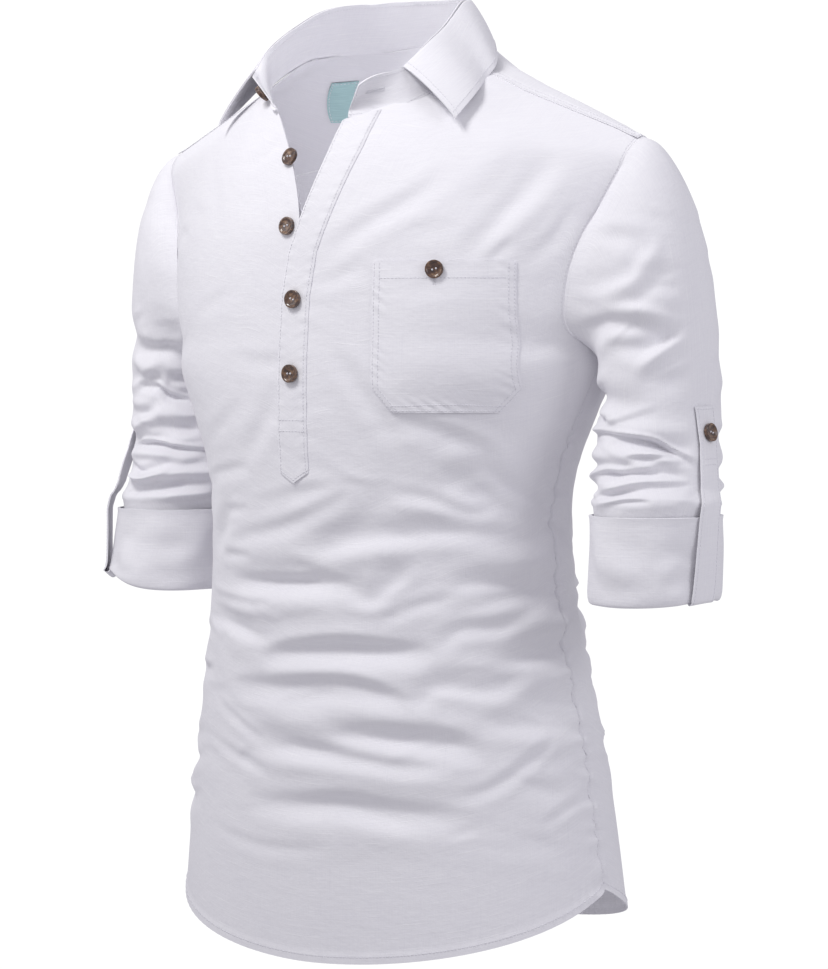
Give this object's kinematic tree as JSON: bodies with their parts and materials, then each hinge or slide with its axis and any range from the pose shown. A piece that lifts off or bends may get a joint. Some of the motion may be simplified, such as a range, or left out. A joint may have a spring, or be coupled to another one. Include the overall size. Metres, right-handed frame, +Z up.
{
  "type": "kurta tunic",
  "caption": "Long hip-length popover kurta shirt with a spread collar, half placket, buttoned chest pocket, rolled sleeves held by straps and a curved hem.",
  "frame": {"origin": "at the neck opening between the shoulders, where a hanger or the wearer's shoulders hold the garment", "axes": "+Z up, -Y towards the wearer's front, +X towards the wearer's left sleeve"},
  "size_m": [0.5956, 0.2872, 0.7601],
  "materials": {
    "cloth": "white slubby plain-weave cotton linen, matt",
    "label": "smooth woven pale teal tape, plain",
    "button": "polished dark brown horn look with tan marbling"
  },
  "bodies": {
    "root": {"front_panel": "cloth", "back_panel": "cloth", "yoke": "cloth", "sleeve_left": "cloth", "sleeve_right": "cloth", "cuff_left": "cloth", "cuff_right": "cloth", "strap_left": "cloth", "strap_right": "cloth", "placket_over": "cloth", "placket_under": "cloth", "pocket": "cloth", "collar_stand": "cloth", "collar_leaf": "cloth", "label": "label", "button_front_1": "button", "button_front_2": "button", "button_front_3": "button", "button_front_4": "button", "button_pocket": "button", "button_strap_left": "button", "button_strap_right": "button", "button_collar": "button"}
  },
  "joints": []
}
